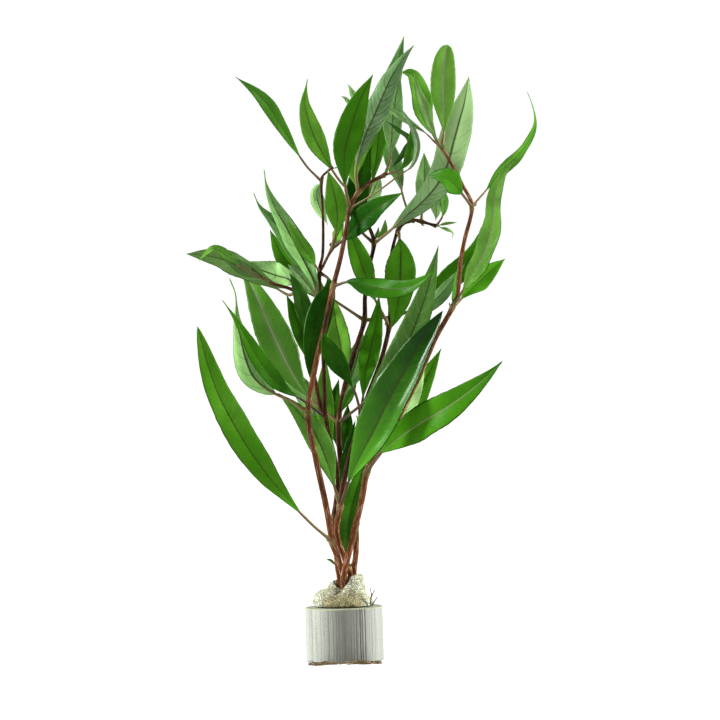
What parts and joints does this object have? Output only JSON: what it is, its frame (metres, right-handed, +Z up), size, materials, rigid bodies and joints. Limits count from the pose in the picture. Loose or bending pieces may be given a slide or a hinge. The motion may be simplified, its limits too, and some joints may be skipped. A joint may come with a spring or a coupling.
{
  "type": "aquarium stem plant",
  "caption": "Bunch of leafy aquatic stems wrapped in foam and pushed into a short ceramic weighting ring that stands on a flat surface.",
  "frame": {"origin": "centre of the whole plant's footprint rectangle, on the surface the ring stands on", "axes": "+Z up along the ring's axis, -Y towards the viewer of the plant's front, +X to the viewer's right"},
  "size_m": [0.1364, 0.0902, 0.24],
  "materials": {
    "ring": "matte, unglazed",
    "foam_plug": "matte, open cells",
    "stem": "satin, moist",
    "root": "matte",
    "leaf": "satin, moist"
  },
  "bodies": {
    "root": {"branch_far_left": "stem", "foam_plug": "foam_plug", "leaf_back_left_1": "leaf", "leaf_back_left_2": "leaf", "leaf_back_left_3": "leaf", "leaf_back_left_4": "leaf", "leaf_back_left_5": "leaf", "leaf_centre_1": "leaf", "leaf_centre_10": "leaf", "leaf_centre_2": "leaf", "leaf_centre_3": "leaf", "leaf_centre_4": "leaf", "leaf_centre_5": "leaf", "leaf_centre_6": "leaf", "leaf_centre_7": "leaf", "leaf_centre_8": "leaf", "leaf_centre_9": "leaf", "leaf_far_left_1": "leaf", "leaf_far_left_2": "leaf", "leaf_far_left_3": "leaf", "leaf_far_left_4": "leaf", "leaf_front_left_1": "leaf", "leaf_front_left_2": "leaf", "leaf_front_left_3": "leaf", "leaf_front_left_4": "leaf", "leaf_front_left_5": "leaf", "leaf_front_left_6": "leaf", "leaf_front_left_7": "leaf", "leaf_front_left_8": "leaf", "leaf_inner_1": "leaf", "leaf_inner_2": "leaf", "leaf_middle_1": "leaf", "leaf_middle_10": "leaf", "leaf_middle_2": "leaf", "leaf_middle_3": "leaf", "leaf_middle_4": "leaf", "leaf_middle_5": "leaf", "leaf_middle_6": "leaf", "leaf_middle_7": "leaf", "leaf_middle_8": "leaf", "leaf_middle_9": "leaf", "leaf_right_1": "leaf", "leaf_right_10": "leaf", "leaf_right_2": "leaf", "leaf_right_3": "leaf", "leaf_right_4": "leaf", "leaf_right_5": "leaf", "leaf_right_6": "leaf", "leaf_right_7": "leaf", "leaf_right_8": "leaf", "leaf_right_9": "leaf", "ring": "ring", "root_left": "root", "root_right": "root", "shoot_inner": "stem", "stem_back_left": "stem", "stem_centre": "stem", "stem_front_left": "stem", "stem_middle": "stem", "stem_right": "stem"}
  },
  "joints": []
}
